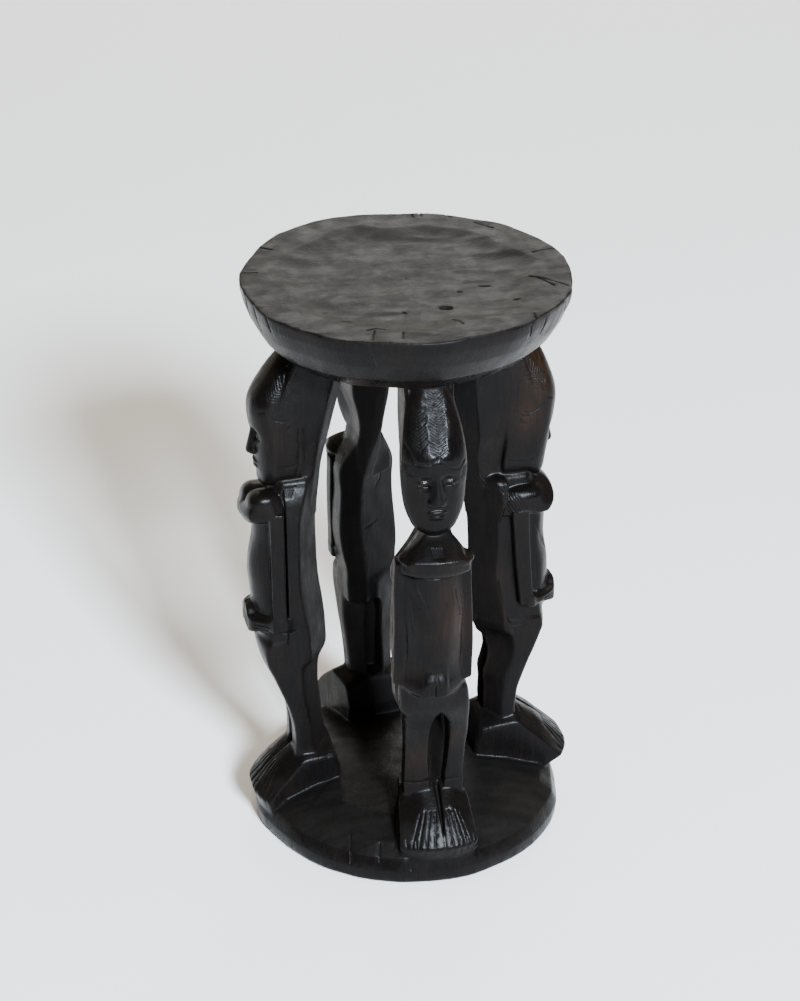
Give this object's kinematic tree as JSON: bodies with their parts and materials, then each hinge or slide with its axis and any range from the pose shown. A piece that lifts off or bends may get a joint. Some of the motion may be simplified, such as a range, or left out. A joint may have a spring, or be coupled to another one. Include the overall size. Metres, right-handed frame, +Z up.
{
  "type": "figural side table",
  "caption": "Round stool or side table carved from one log: a dished seat carried by standing figures on a domed round base.",
  "frame": {"origin": "middle of the round underside, at floor level", "axes": "+Z up, -Y the way the front figure faces, +X to that figure's left hand"},
  "size_m": [0.2568, 0.2615, 0.46],
  "materials": {
    "stained_wood": "near-black brown stain over carved hardwood, rubbed wax, satin gloss with warm worn patches"
  },
  "bodies": {
    "root": {"carved_stool": "stained_wood"}
  },
  "joints": []
}
